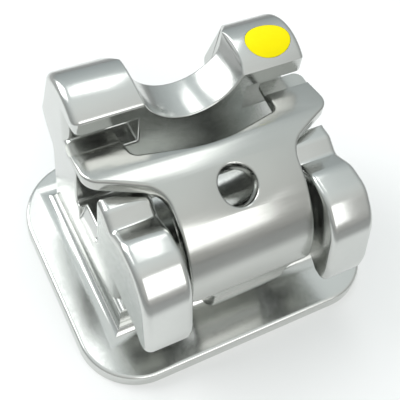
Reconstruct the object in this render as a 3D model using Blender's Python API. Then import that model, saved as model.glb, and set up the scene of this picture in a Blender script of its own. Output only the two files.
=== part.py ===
"""Self-ligating orthodontic bracket: a moulded body with its bonding pad, a sliding spring clip and a
colour mark.

Metres, +Z points away from the tooth (labial), +X runs along the archwire slot and +Y points to the
biting edge (occlusal). The origin is the middle of the pad's tooth side.
"""

import math

import bmesh
import bpy
from mathutils import Matrix, Vector

# Bonding pad
PAD_WIDTH = 0.00346
PAD_LENGTH = 0.00295
PAD_THICKNESS = 0.00016
PAD_FRONT_CORNER_RADIUS = 0.00064
PAD_BACK_CORNER_RADIUS = 0.00080
PAD_EDGE_BEVEL = 0.00004

# Retention pockets in the pad's tooth side
POCKET_PITCH = 0.00032
POCKET_SIZE = 0.00021
POCKET_DEPTH = 0.00006
POCKET_MARGIN = 0.00018

# Stem between the pad and the wings
BODY_HALF_WIDTH = 0.00128
STEM_FRONT = -0.00085
STEM_BACK = 0.00098
FOOT_FILLET_RADIUS = 0.00017

# Archwire slot
SLOT_CENTRE_Y = 0.00006
SLOT_WIDTH = 0.00056
SLOT_FLOOR_Z = 0.00098
SLOT_WALL_TOP_Z = 0.00150
SLOT_CORNER_RADIUS = 0.00004
LEAD_IN_RUN = 0.00009
LEAD_IN_DROP = 0.00022
LEAD_IN_MARGIN = 0.00005

# Occlusal wings, saddle and the recesses that take the clip's tongues
WING_CREST_Y = 0.00070
WING_CREST_Z = 0.002335
WING_LIP_TOP_Z = 0.00220
WING_TIP_Y = 0.00135
WING_TIP_Z = 0.00146
WING_TIP_SETBACK = 0.00012
WING_TIP_DEPTH = 0.00018
WING_TIP_RADIUS = 0.00010
WING_UNDERCUT_Z = 0.00112
WING_HEEL = 0.00006
WING_HEEL_RADIUS = 0.00008
WING_BACK_TURN = math.radians(47.0)
WING_EDGE_ROUND = 0.00007
LIP_CORNER_CUT = 0.00011
SADDLE_RADIUS = 0.00058
SADDLE_FLOOR_Z = 0.00184
WING_GAP_HALF_WIDTH = 0.00050
WING_GAP_FLARE = 0.00018
WING_GAP_FLARE_LENGTH = 0.00024
WING_GAP_CORNER_RADIUS = 0.00010
WEB_BACK_Y = 0.00082
RECESS_DEPTH = 0.00027
RECESS_FLOOR_Z = 0.00168
RECESS_ROOF_Z = 0.00202
WEB_HALF_WIDTH = 0.00060

# Gingival hooks, one each side of the clip
HOOK_RIDGE_Z = 0.00176
HOOK_RIDGE_LENGTH = 0.00016
HOOK_RIDGE_RADIUS = 0.00012
HOOK_VALLEY_Y = -0.00054
HOOK_VALLEY_Z = 0.00166
HOOK_VALLEY_RADIUS = 0.00006
HOOK_CREST_Y = -0.00078
HOOK_CREST_Z = 0.00177
HOOK_CREST_LENGTH = 0.00030
HOOK_CREST_RADIUS = 0.00030
HOOK_REACH_Y = -0.00147
HOOK_SHOULDER_SETBACK = 0.00012
HOOK_SHOULDER_FALL = 0.00026
HOOK_SHOULDER_RADIUS = 0.00050
HOOK_NOSE_Z = 0.00094
HOOK_TIP_Z = 0.00072
HOOK_TIP_THICKNESS = 0.00018
HOOK_TIP_RADIUS = 0.00006
HOOK_TIP_LEAN = 0.00002
HOOK_UNDERSIDE_Z = 0.00084
HOOK_MOUTH_LENGTH = 0.00010
HOOK_MOUTH_RADIUS = 0.00014
HOOK_OVERLAP = 0.00006
HOOK_EDGE_ROUND = 0.00004
BAY_HALF_WIDTH = 0.00077
BAY_FRONT_Y = -0.00072
BAY_CORNER_RADIUS = 0.00022

# Spring clip
CLIP_THICKNESS = 0.00017
CLIP_TOP_Z = 0.00197
CLIP_ROLL_RADIUS = 0.00097
CLIP_ROLL_CENTRE_Y = -0.00025
CLIP_DROP = 0.00020
CLIP_TURN_RADIUS = 0.00038
CLIP_HALF_WIDTH = 0.00070
CLIP_LEG_HALF_WIDTH = 0.00042
CLIP_LEG_END_Y = 0.00075
CLIP_CORNER_RADIUS = 0.00010
CLIP_SHOULDER_SHARE = 0.25
EAR_HALF_SPAN = 0.00135
EAR_FRONT_Y = 0.00027
EAR_BACK_Y = -0.00011
EAR_CORNER_RADIUS = 0.00022
EAR_ROOT_Y = -0.00044
EAR_ROOT_RADIUS = 0.00030
EAR_CREASE_Y = -0.00019
EAR_TOP_FALL = 0.00009
EAR_UNDER_FALL = 0.00002
TONGUE_INNER_X = 0.00084
TONGUE_REACH = 0.00019
TONGUE_MILLING = 0.00006
TONGUE_INNER_RADIUS = 0.00005
TONGUE_OUTER_RADIUS = 0.00010
NOTCH_HALF_WIDTH = 0.00080
NOTCH_EDGE_Y = 0.00003
NOTCH_SAG = 0.00020
NOTCH_BOW_RADIUS = 0.00140
HOLE_RADIUS = 0.000200
HOLE_ANGLE = math.radians(24.0)

# Tunnel that guides the clip's leg
TUNNEL_SIDE_CLEARANCE = 0.00002
TUNNEL_HEIGHT_CLEARANCE = 0.00002

# Colour mark on the right occlusal wing
DOT_X = 0.00094
DOT_Y = 0.00060
DOT_HALF_WIDTH = 0.000255
DOT_HALF_LENGTH = 0.000205
DOT_POCKET_DEPTH = 0.00005
DOT_CROWN = 0.00002
DOT_CLEARANCE = 0.000004

# Facets
ARC_SEGMENTS = 6
PAD_CORNER_SEGMENTS = 10
BEVEL_SEGMENTS = 2
DISC_RINGS = 4
ROUND_SEGMENTS = 48
ROLL_STEPS = 14
TURN_STEPS = 10
MERGE_DISTANCE = 1e-8
SHARP_ANGLE = math.radians(24.0)
CUT_MARGIN = 0.001
CUT_SCALE = 1000.0
QUARTER_TURN = math.radians(90.0)
STRAIGHT_ANGLE = math.radians(89.0)
ARC_REACH_SHARE = 0.49
RIM_ALIGNMENT = 0.5
BEVEL_PROFILE = 0.5

# Finishes: colour, roughness and how metallic it is
POLISHED_STEEL = ((0.72, 0.73, 0.72), 0.12, 1.0)
SPRING_ALLOY = ((0.70, 0.71, 0.70), 0.14, 1.0)
YELLOW_PAINT = ((1.0, 0.89, 0.02), 0.35, 0.0)


def clear_scene():
    """Remove every object of the opened scene."""
    for obj in list(bpy.data.objects):
        bpy.data.objects.remove(obj, do_unlink=True)


def make_material(name, colour, roughness, metallic):
    """A Principled material with one colour."""
    material = bpy.data.materials.new(name)
    material.use_nodes = True
    shader = material.node_tree.nodes["Principled BSDF"]
    shader.inputs["Base Color"].default_value = (*colour, 1.0)
    shader.inputs["Roughness"].default_value = roughness
    shader.inputs["Metallic"].default_value = metallic
    material.diffuse_color = (*colour, 1.0)
    return material


def rounded_outline(corners, segments=ARC_SEGMENTS):
    """A closed outline from (u, v, radius) corners, each sharp (0) or rounded with a tangent arc."""
    outline = []
    count = len(corners)
    for index, (u, v, radius) in enumerate(corners):
        corner = Vector((u, v))
        before = Vector(corners[index - 1][:2]) - corner
        after = Vector(corners[(index + 1) % count][:2]) - corner
        half_angle = before.angle(after) / 2.0
        if radius <= 0.0 or half_angle > STRAIGHT_ANGLE:
            outline.append(corner)
            continue
        reach = radius / math.tan(half_angle)
        reach = min(reach, ARC_REACH_SHARE * before.length, ARC_REACH_SHARE * after.length)
        start = corner + before.normalized() * reach
        end = corner + after.normalized() * reach
        arc_radius = reach * math.tan(half_angle)
        to_centre = (before.normalized() + after.normalized()).normalized()
        centre = corner + to_centre * (arc_radius / math.sin(half_angle))
        first = (start - centre).normalized()
        last = (end - centre).normalized()
        sweep = math.acos(max(-1.0, min(1.0, first.dot(last))))
        side = 1.0 if first.x * last.y - first.y * last.x > 0.0 else -1.0
        for step in range(segments + 1):
            turn = side * sweep * step / segments
            spoke = Matrix.Rotation(turn, 2) @ first
            outline.append(centre + spoke * arc_radius)
    return outline


def object_from_bmesh(name, mesh_data):
    """Turn a bmesh into an object with outward faces, enlarged to the scale that the cuts work at."""
    bmesh.ops.recalc_face_normals(mesh_data, faces=mesh_data.faces)
    mesh = bpy.data.meshes.new(name)
    mesh_data.to_mesh(mesh)
    mesh_data.free()
    mesh.transform(Matrix.Scale(CUT_SCALE, 4))
    obj = bpy.data.objects.new(name, mesh)
    bpy.context.scene.collection.objects.link(obj)
    return obj


def extruded(name, outline, to_point, sweep, edge_round=0.0):
    """A prism: the outline placed by to_point(u, v) and swept by a vector, end edges rounded if asked."""
    mesh_data = bmesh.new()
    ring = [mesh_data.verts.new(to_point(u, v)) for u, v in outline]
    face = mesh_data.faces.new(ring)
    result = bmesh.ops.extrude_face_region(mesh_data, geom=[face])
    moved = [item for item in result["geom"] if isinstance(item, bmesh.types.BMVert)]
    bmesh.ops.translate(mesh_data, verts=moved, vec=sweep)
    if edge_round > 0.0:
        direction = Vector(sweep).normalized()
        rims = [
            edge for edge in mesh_data.edges
            if abs((edge.verts[1].co - edge.verts[0].co).normalized().dot(direction)) < RIM_ALIGNMENT
        ]
        bmesh.ops.bevel(
            mesh_data, geom=rims, offset=edge_round, segments=BEVEL_SEGMENTS, profile=BEVEL_PROFILE,
            affect="EDGES", clamp_overlap=True,
        )
    return object_from_bmesh(name, mesh_data)


def slab_along_x(name, outline, x_from, x_to, edge_round=0.0):
    """A side profile, drawn as (y, z), extruded along the slot from x_from to x_to."""
    return extruded(
        name, outline, lambda y, z: Vector((x_from, y, z)), Vector((x_to - x_from, 0.0, 0.0)), edge_round
    )


def box(name, low, high):
    """A closed box between two opposite corners."""
    outline = [(low[1], low[2]), (high[1], low[2]), (high[1], high[2]), (low[1], high[2])]
    return slab_along_x(name, outline, low[0], high[0])


def cylinder(name, radius, length, placement):
    """A closed cylinder along its local Z, its middle at the origin, moved by a matrix."""
    mesh_data = bmesh.new()
    bmesh.ops.create_cone(
        mesh_data, cap_ends=True, segments=ROUND_SEGMENTS, radius1=radius, radius2=radius, depth=length
    )
    bmesh.ops.transform(mesh_data, matrix=placement, verts=mesh_data.verts)
    return object_from_bmesh(name, mesh_data)


def weld(obj):
    """Merge the doubled vertices that a cut can leave."""
    mesh_data = bmesh.new()
    mesh_data.from_mesh(obj.data)
    distance = MERGE_DISTANCE * CUT_SCALE
    bmesh.ops.remove_doubles(mesh_data, verts=mesh_data.verts, dist=distance)
    bmesh.ops.dissolve_degenerate(mesh_data, edges=mesh_data.edges, dist=distance)
    mesh_data.to_mesh(obj.data)
    mesh_data.free()


def combine(target, others, operation):
    """Union other solids into the target, or cut them all out of it, and apply the result."""
    group = bpy.data.collections.new("operands")
    for other in others:
        group.objects.link(other)
    modifier = target.modifiers.new(operation.lower(), "BOOLEAN")
    modifier.operation = operation
    modifier.operand_type = "COLLECTION"
    modifier.collection = group
    modifier.solver = "EXACT"
    graph = bpy.context.evaluated_depsgraph_get()
    graph.update()
    mesh = bpy.data.meshes.new_from_object(target.evaluated_get(graph))
    target.modifiers.clear()
    target.data = mesh
    weld(target)
    for other in others:
        bpy.data.objects.remove(other, do_unlink=True)
    bpy.data.collections.remove(group)


def to_real_size(obj):
    """Bring a solid back from the scale of the cuts to metres."""
    obj.data.transform(Matrix.Scale(1.0 / CUT_SCALE, 4))


def finish(obj, material):
    """Give a solid its material, turn its faces outward and shade the round ones smooth."""
    mesh_data = bmesh.new()
    mesh_data.from_mesh(obj.data)
    bmesh.ops.recalc_face_normals(mesh_data, faces=mesh_data.faces)
    mesh_data.to_mesh(obj.data)
    mesh_data.free()
    obj.data.materials.clear()
    obj.data.materials.append(material)
    obj.data.shade_smooth()
    obj.data.set_sharp_from_angle(angle=SHARP_ANGLE)


def slot_front():
    """The gingival wall of the archwire slot."""
    return SLOT_CENTRE_Y - SLOT_WIDTH / 2.0


def slot_back():
    """The occlusal wall of the archwire slot, which is also the wings' front."""
    return SLOT_CENTRE_Y + SLOT_WIDTH / 2.0


def clip_inner_roll_bottom():
    """Height at which the clip's large roll ends and its short drop begins."""
    return CLIP_TOP_Z - CLIP_ROLL_RADIUS


def leg_bottom_z():
    """Tooth side of the clip's hidden leg."""
    return clip_inner_roll_bottom() - CLIP_DROP - CLIP_TURN_RADIUS


def leg_top_z():
    """Labial side of the clip's hidden leg."""
    return leg_bottom_z() + CLIP_THICKNESS


def make_pad():
    """The rounded bonding pad with its top rim broken."""
    half_x = PAD_WIDTH / 2.0
    half_y = PAD_LENGTH / 2.0
    outline = rounded_outline(
        [
            (-half_x, -half_y, PAD_FRONT_CORNER_RADIUS),
            (half_x, -half_y, PAD_FRONT_CORNER_RADIUS),
            (half_x, half_y, PAD_BACK_CORNER_RADIUS),
            (-half_x, half_y, PAD_BACK_CORNER_RADIUS),
        ],
        segments=PAD_CORNER_SEGMENTS,
    )
    mesh_data = bmesh.new()
    ring = [mesh_data.verts.new((x, y, 0.0)) for x, y in outline]
    face = mesh_data.faces.new(ring)
    result = bmesh.ops.extrude_face_region(mesh_data, geom=[face])
    top = [item for item in result["geom"] if isinstance(item, bmesh.types.BMVert)]
    bmesh.ops.translate(mesh_data, verts=top, vec=(0.0, 0.0, PAD_THICKNESS))
    rim = [edge for edge in mesh_data.edges if all(vert in top for vert in edge.verts)]
    bmesh.ops.bevel(
        mesh_data, geom=rim, offset=PAD_EDGE_BEVEL, segments=BEVEL_SEGMENTS, profile=BEVEL_PROFILE,
        affect="EDGES", clamp_overlap=True,
    )
    return object_from_bmesh("bracket_body", mesh_data)


def make_foot_fillet():
    """The concave fillet where the stem meets the pad: rings that close in along a quarter circle."""
    mesh_data = bmesh.new()
    rings = []
    for step in range(ARC_SEGMENTS + 1):
        angle = QUARTER_TURN * step / ARC_SEGMENTS
        grow = FOOT_FILLET_RADIUS * (1.0 - math.sin(angle))
        height = PAD_THICKNESS + FOOT_FILLET_RADIUS * (1.0 - math.cos(angle))
        ring = [
            mesh_data.verts.new((x, y, height))
            for x, y in (
                (-BODY_HALF_WIDTH - grow, STEM_FRONT - grow),
                (BODY_HALF_WIDTH + grow, STEM_FRONT - grow),
                (BODY_HALF_WIDTH + grow, STEM_BACK + grow),
                (-BODY_HALF_WIDTH - grow, STEM_BACK + grow),
            )
        ]
        rings.append(ring)
    sunk = [mesh_data.verts.new(vert.co - Vector((0.0, 0.0, PAD_THICKNESS / 2.0))) for vert in rings[0]]
    rings.insert(0, sunk)
    for lower, upper in zip(rings, rings[1:]):
        for side in range(len(lower)):
            mesh_data.faces.new((lower[side - 1], lower[side], upper[side], upper[side - 1]))
    mesh_data.faces.new(list(reversed(rings[0])))
    mesh_data.faces.new(rings[-1])
    return object_from_bmesh("foot_fillet", mesh_data)


def stem_outline():
    """Side profile of the full-width stem, with the slot's floor and walls and the clip's bay."""
    root = PAD_THICKNESS / 2.0
    step = leg_top_z() + TUNNEL_HEIGHT_CLEARANCE
    return rounded_outline(
        [
            (STEM_FRONT, root, 0.0),
            (STEM_BACK, root, 0.0),
            (STEM_BACK, SLOT_WALL_TOP_Z, 0.0),
            (slot_back(), SLOT_WALL_TOP_Z, 0.0),
            (slot_back(), SLOT_FLOOR_Z, SLOT_CORNER_RADIUS),
            (slot_front(), SLOT_FLOOR_Z, SLOT_CORNER_RADIUS),
            (slot_front(), SLOT_WALL_TOP_Z, SLOT_CORNER_RADIUS),
            (BAY_FRONT_Y, SLOT_WALL_TOP_Z, BAY_CORNER_RADIUS),
            (BAY_FRONT_Y, step, 0.0),
            (STEM_FRONT, step, 0.0),
        ]
    )


def labial_arc():
    """Centre (y, z) and radius of the wings' labial face, an arc from the lip's edge over the crest."""
    run = WING_CREST_Y - slot_back()
    rise = WING_CREST_Z - WING_LIP_TOP_Z
    radius = (run * run + rise * rise) / (2.0 * rise)
    return Vector((WING_CREST_Y, WING_CREST_Z - radius)), radius


def occlusal_outline():
    """Side profile of the occlusal wings: lip over the slot, convex labial face and turned-down tip."""
    lower = rounded_outline(
        [
            (slot_back(), (SLOT_WALL_TOP_Z + SLOT_FLOOR_Z) / 2.0, 0.0),
            (STEM_BACK - WING_HEEL, WING_UNDERCUT_Z - WING_HEEL, 0.0),
            (STEM_BACK + WING_HEEL, WING_UNDERCUT_Z, WING_HEEL_RADIUS),
            (WING_TIP_Y - WING_TIP_SETBACK, WING_TIP_Z - WING_TIP_DEPTH, WING_TIP_RADIUS),
            (WING_TIP_Y, WING_TIP_Z, WING_TIP_RADIUS),
        ]
    )
    centre, radius = labial_arc()
    first = WING_BACK_TURN
    last = -math.asin((WING_CREST_Y - slot_back()) / radius)
    steps = 2 * ARC_SEGMENTS
    arc = []
    for step in range(steps + 1):
        angle = first + (last - first) * step / steps
        arc.append(centre + Vector((math.sin(angle), math.cos(angle))) * radius)
    return lower + arc


def hook_outline():
    """Side profile of a gingival hook: ridge beside the slot, valley, rounded crest and hooked tip."""
    inner_tip_y = HOOK_REACH_Y + HOOK_TIP_THICKNESS
    return rounded_outline(
        [
            (slot_front(), SLOT_FLOOR_Z + HOOK_OVERLAP, 0.0),
            (slot_front(), HOOK_RIDGE_Z, HOOK_TIP_RADIUS),
            (slot_front() - HOOK_RIDGE_LENGTH, HOOK_RIDGE_Z, HOOK_RIDGE_RADIUS),
            (HOOK_VALLEY_Y, HOOK_VALLEY_Z, HOOK_VALLEY_RADIUS),
            (HOOK_CREST_Y, HOOK_CREST_Z, HOOK_CREST_RADIUS),
            (HOOK_CREST_Y - HOOK_CREST_LENGTH, HOOK_CREST_Z - HOOK_TIP_LEAN, HOOK_CREST_RADIUS),
            (HOOK_REACH_Y + HOOK_SHOULDER_SETBACK, HOOK_CREST_Z - HOOK_SHOULDER_FALL, HOOK_SHOULDER_RADIUS),
            (HOOK_REACH_Y, HOOK_NOSE_Z, HOOK_SHOULDER_RADIUS),
            (HOOK_REACH_Y + HOOK_TIP_LEAN, HOOK_TIP_Z, HOOK_TIP_RADIUS),
            (inner_tip_y + HOOK_TIP_LEAN, HOOK_TIP_Z, HOOK_TIP_RADIUS),
            (
                inner_tip_y + HOOK_MOUTH_LENGTH, HOOK_UNDERSIDE_Z - HOOK_MOUTH_LENGTH / 2.0,
                HOOK_MOUTH_RADIUS,
            ),
            (STEM_FRONT + HOOK_OVERLAP, HOOK_UNDERSIDE_Z, HOOK_TIP_RADIUS),
            (BAY_FRONT_Y + HOOK_OVERLAP, SLOT_FLOOR_Z - HOOK_OVERLAP, 0.0),
        ]
    )


def on_labial_face(across, along, out):
    """Place on the wing's curved labial face, measured from the colour mark's middle; out is outward."""
    centre, radius = labial_arc()
    turn = math.asin((DOT_Y - WING_CREST_Y) / radius) + along / radius
    reach = radius + out
    return Vector((DOT_X + across, centre.x + reach * math.sin(turn), centre.y + reach * math.cos(turn)))


def curved_disc(name, inset, depth, height, crown):
    """The mark's oval disc on the labial face, from a depth under it to a height above it."""
    half_width = DOT_HALF_WIDTH - inset
    slimness = (DOT_HALF_LENGTH - inset) / half_width
    profile = [Vector((half_width * step / DISC_RINGS, 0.0, -depth)) for step in range(DISC_RINGS + 1)]
    for step in range(ARC_SEGMENTS + 1):
        angle = QUARTER_TURN * step / ARC_SEGMENTS
        profile.append(Vector((half_width * math.cos(angle), 0.0, height + crown * math.sin(angle))))
    mesh_data = bmesh.new()
    verts = [mesh_data.verts.new(point) for point in profile]
    edges = [mesh_data.edges.new(pair) for pair in zip(verts, verts[1:])]
    bmesh.ops.spin(
        mesh_data, geom=verts + edges, cent=(0.0, 0.0, 0.0), axis=(0.0, 0.0, 1.0),
        angle=4.0 * QUARTER_TURN, steps=ROUND_SEGMENTS,
    )
    bmesh.ops.remove_doubles(mesh_data, verts=mesh_data.verts, dist=MERGE_DISTANCE)
    for vert in mesh_data.verts:
        across, along, out = vert.co
        vert.co = on_labial_face(across, along * slimness, out)
    return object_from_bmesh(name, mesh_data)


def make_pocket_cutters():
    """All retention pockets of the pad's tooth side, as one group of square cutters."""
    mesh_data = bmesh.new()
    reach_x = PAD_WIDTH / 2.0 - POCKET_MARGIN - POCKET_SIZE / 2.0
    reach_y = PAD_LENGTH / 2.0 - POCKET_MARGIN - POCKET_SIZE / 2.0
    count_x = int(reach_x / POCKET_PITCH - 0.5) + 1
    count_y = int(reach_y / POCKET_PITCH - 0.5) + 1
    for row in range(-count_y, count_y):
        for column in range(-count_x, count_x):
            x = (column + 0.5) * POCKET_PITCH
            y = (row + 0.5) * POCKET_PITCH
            radius = PAD_FRONT_CORNER_RADIUS if y < 0.0 else PAD_BACK_CORNER_RADIUS
            over_x = abs(x) + POCKET_SIZE / 2.0 - (PAD_WIDTH / 2.0 - radius)
            over_y = abs(y) + POCKET_SIZE / 2.0 - (PAD_LENGTH / 2.0 - radius)
            if min(over_x, over_y) > 0.0 and math.hypot(over_x, over_y) > radius - POCKET_MARGIN:
                continue
            cube = bmesh.ops.create_cube(mesh_data, size=1.0)
            scale = Matrix.Diagonal((POCKET_SIZE, POCKET_SIZE, POCKET_DEPTH * 2.0, 1.0))
            place = Matrix.Translation((x, y, 0.0)) @ scale
            bmesh.ops.transform(mesh_data, matrix=place, verts=cube["verts"])
    return object_from_bmesh("pockets", mesh_data)


def make_hook(side):
    """One gingival hook, on the side of the clip that the sign gives."""
    return slab_along_x(
        "hook", hook_outline(), side * BAY_HALF_WIDTH, side * BODY_HALF_WIDTH, HOOK_EDGE_ROUND
    )


def make_recess_cutter(side):
    """The space under an occlusal wing's lip that takes the tongue of the clip's ear."""
    inner = side * WEB_HALF_WIDTH
    outer = side * (BODY_HALF_WIDTH + CUT_MARGIN)
    return box(
        "recess",
        (min(inner, outer), slot_back() - SLOT_WIDTH / 2.0, RECESS_FLOOR_Z),
        (max(inner, outer), slot_back() + RECESS_DEPTH, RECESS_ROOF_Z),
    )


def make_lead_in_cutter(side):
    """The wedge that slopes an end of the slot's floor, where the archwire is led in."""
    mesh_data = bmesh.new()
    corners = (
        (BODY_HALF_WIDTH - 2.0 * LEAD_IN_RUN, SLOT_FLOOR_Z + LEAD_IN_DROP),
        (BODY_HALF_WIDTH + LEAD_IN_RUN, SLOT_FLOOR_Z - 2.0 * LEAD_IN_DROP),
        (BODY_HALF_WIDTH + LEAD_IN_RUN, SLOT_FLOOR_Z + LEAD_IN_DROP),
    )
    near, far = slot_front() + LEAD_IN_MARGIN, slot_back() - LEAD_IN_MARGIN
    face = mesh_data.faces.new([mesh_data.verts.new((side * x, near, z)) for x, z in corners])
    result = bmesh.ops.extrude_face_region(mesh_data, geom=[face])
    moved = [item for item in result["geom"] if isinstance(item, bmesh.types.BMVert)]
    bmesh.ops.translate(mesh_data, verts=moved, vec=(0.0, far - near, 0.0))
    return object_from_bmesh("lead_in", mesh_data)


def make_lip_corner_cutter(side):
    """The upright wedge that takes the outer corner off a wing's lip."""
    outline = [
        (side * (BODY_HALF_WIDTH - 2.0 * LIP_CORNER_CUT), slot_back() - LIP_CORNER_CUT),
        (side * (BODY_HALF_WIDTH + LIP_CORNER_CUT), slot_back() - LIP_CORNER_CUT),
        (side * (BODY_HALF_WIDTH + LIP_CORNER_CUT), slot_back() + 2.0 * LIP_CORNER_CUT),
    ]
    base = (RECESS_FLOOR_Z + RECESS_ROOF_Z) / 2.0
    return extruded(
        "lip_corner", outline, lambda x, y: Vector((x, y, base)), Vector((0.0, 0.0, CUT_MARGIN))
    )


def make_wing_gap_cutter():
    """The gap between the two occlusal wings behind the web, which flares open towards its back."""
    wide = WING_GAP_HALF_WIDTH + WING_GAP_FLARE
    flare_end = WEB_BACK_Y + WING_GAP_FLARE_LENGTH
    outline = rounded_outline(
        [
            (-WING_GAP_HALF_WIDTH, WEB_BACK_Y, WING_GAP_CORNER_RADIUS),
            (WING_GAP_HALF_WIDTH, WEB_BACK_Y, WING_GAP_CORNER_RADIUS),
            (wide, flare_end, WING_GAP_CORNER_RADIUS),
            (wide, WING_TIP_Y + CUT_MARGIN, 0.0),
            (-wide, WING_TIP_Y + CUT_MARGIN, 0.0),
            (-wide, flare_end, WING_GAP_CORNER_RADIUS),
        ]
    )
    height = WING_CREST_Z - WING_UNDERCUT_Z + CUT_MARGIN
    return extruded(
        "wing_gap", outline, lambda x, y: Vector((x, y, WING_UNDERCUT_Z)), Vector((0.0, 0.0, height))
    )


def make_saddle_cutter():
    """The round scoop between the occlusal wings."""
    lying = Matrix.Rotation(QUARTER_TURN, 4, "X")
    place = Matrix.Translation((0.0, WING_CREST_Y, SADDLE_FLOOR_Z + SADDLE_RADIUS))
    return cylinder("saddle", SADDLE_RADIUS, PAD_LENGTH, place @ lying)


def make_tunnel_cutter():
    """The flat tunnel through the stem that guides the clip's leg."""
    half = CLIP_LEG_HALF_WIDTH + TUNNEL_SIDE_CLEARANCE
    return box(
        "tunnel",
        (-half, STEM_FRONT - CUT_MARGIN, leg_bottom_z() - TUNNEL_HEIGHT_CLEARANCE),
        (half, STEM_BACK + CUT_MARGIN, leg_top_z() + TUNNEL_HEIGHT_CLEARANCE),
    )


def make_body(material):
    """The one-piece body: pad, foot, stem, wings and hooks, less the saddle, recesses and tunnel."""
    body = make_pad()
    stem = slab_along_x("stem", stem_outline(), -BODY_HALF_WIDTH, BODY_HALF_WIDTH)
    wings = slab_along_x(
        "occlusal_wings", occlusal_outline(), -BODY_HALF_WIDTH, BODY_HALF_WIDTH, WING_EDGE_ROUND
    )
    combine(body, [make_foot_fillet(), stem, wings, make_hook(-1.0), make_hook(1.0)], "UNION")
    dimple = curved_disc("dimple", 0.0, DOT_POCKET_DEPTH, DOT_POCKET_DEPTH, 0.0)
    cutters = [make_saddle_cutter(), make_wing_gap_cutter(), make_tunnel_cutter(), make_pocket_cutters()]
    cutters.append(dimple)
    for side in (-1.0, 1.0):
        cutters += [make_recess_cutter(side), make_lead_in_cutter(side), make_lip_corner_cutter(side)]
    combine(body, cutters, "DIFFERENCE")
    to_real_size(body)
    finish(body, material)


def blank_length(y):
    """Distance along the blank from the tongues' tips to a place y on the clip's flat labial part."""
    return EAR_FRONT_Y + TONGUE_REACH - y


def bend_marks():
    """Distances along the blank at which the roll, the drop, the turn and the leg begin, and its end."""
    middle = CLIP_THICKNESS / 2.0
    roll = blank_length(CLIP_ROLL_CENTRE_Y)
    drop = roll + QUARTER_TURN * (CLIP_ROLL_RADIUS - middle)
    turn = drop + CLIP_DROP
    leg = turn + QUARTER_TURN * (CLIP_TURN_RADIUS - middle)
    turn_centre_y = CLIP_ROLL_CENTRE_Y - CLIP_ROLL_RADIUS + CLIP_TURN_RADIUS
    end = leg + CLIP_LEG_END_Y - turn_centre_y
    return roll, drop, turn, leg, end


def blank_outline():
    """Outline of the flat blank as (x, distance from the tongues' tips), with its ears and shoulders."""
    marks = bend_marks()
    notch = blank_length(NOTCH_EDGE_Y)
    shoulder = marks[1] + CLIP_DROP * CLIP_SHOULDER_SHARE
    right = [
        (NOTCH_HALF_WIDTH, notch, CLIP_CORNER_RADIUS),
        (TONGUE_INNER_X, 0.0, TONGUE_INNER_RADIUS),
        (EAR_HALF_SPAN, 0.0, TONGUE_OUTER_RADIUS),
        (EAR_HALF_SPAN, blank_length(EAR_BACK_Y), EAR_CORNER_RADIUS),
        (CLIP_HALF_WIDTH, blank_length(EAR_ROOT_Y), EAR_ROOT_RADIUS),
        (CLIP_HALF_WIDTH, shoulder, CLIP_CORNER_RADIUS),
        (CLIP_LEG_HALF_WIDTH, shoulder, CLIP_CORNER_RADIUS),
        (CLIP_LEG_HALF_WIDTH, marks[-1], CLIP_CORNER_RADIUS),
    ]
    left = [(-x, along, radius) for x, along, radius in reversed(right)]
    bow = [(0.0, notch + NOTCH_SAG, NOTCH_BOW_RADIUS)]
    return rounded_outline(right + left + bow)


def pressed_down(y, out):
    """How far the flat part's coined slope lowers a point, from its crease to the front of the ears."""
    slope = (y - EAR_CREASE_Y) / (EAR_FRONT_Y - EAR_CREASE_Y)
    inside = -out / CLIP_THICKNESS
    fall = EAR_TOP_FALL * (1.0 - inside) + EAR_UNDER_FALL * inside
    return fall * max(0.0, min(1.0, slope))


def bent(x, along, out):
    """Place of a blank point on the folded clip; out is 0 on the labial skin, negative inside."""
    roll, drop, turn, leg = bend_marks()[:4]
    middle = CLIP_THICKNESS / 2.0
    roll_z = clip_inner_roll_bottom()
    if along <= roll:
        y = EAR_FRONT_Y + TONGUE_REACH - along
        return Vector((x, y, CLIP_TOP_Z + out - pressed_down(y, out)))
    if along <= drop:
        angle = (along - roll) / (CLIP_ROLL_RADIUS - middle)
        radius = CLIP_ROLL_RADIUS + out
        y = CLIP_ROLL_CENTRE_Y - radius * math.sin(angle)
        return Vector((x, y, roll_z + radius * math.cos(angle)))
    front = CLIP_ROLL_CENTRE_Y - CLIP_ROLL_RADIUS
    if along <= turn:
        return Vector((x, front - out, roll_z - (along - drop)))
    turn_y = front + CLIP_TURN_RADIUS
    turn_z = roll_z - CLIP_DROP
    if along <= leg:
        angle = (along - turn) / (CLIP_TURN_RADIUS - middle)
        radius = CLIP_TURN_RADIUS + out
        return Vector((x, turn_y - radius * math.cos(angle), turn_z - radius * math.sin(angle)))
    return Vector((x, turn_y + (along - leg), turn_z - CLIP_TURN_RADIUS - out))


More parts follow.
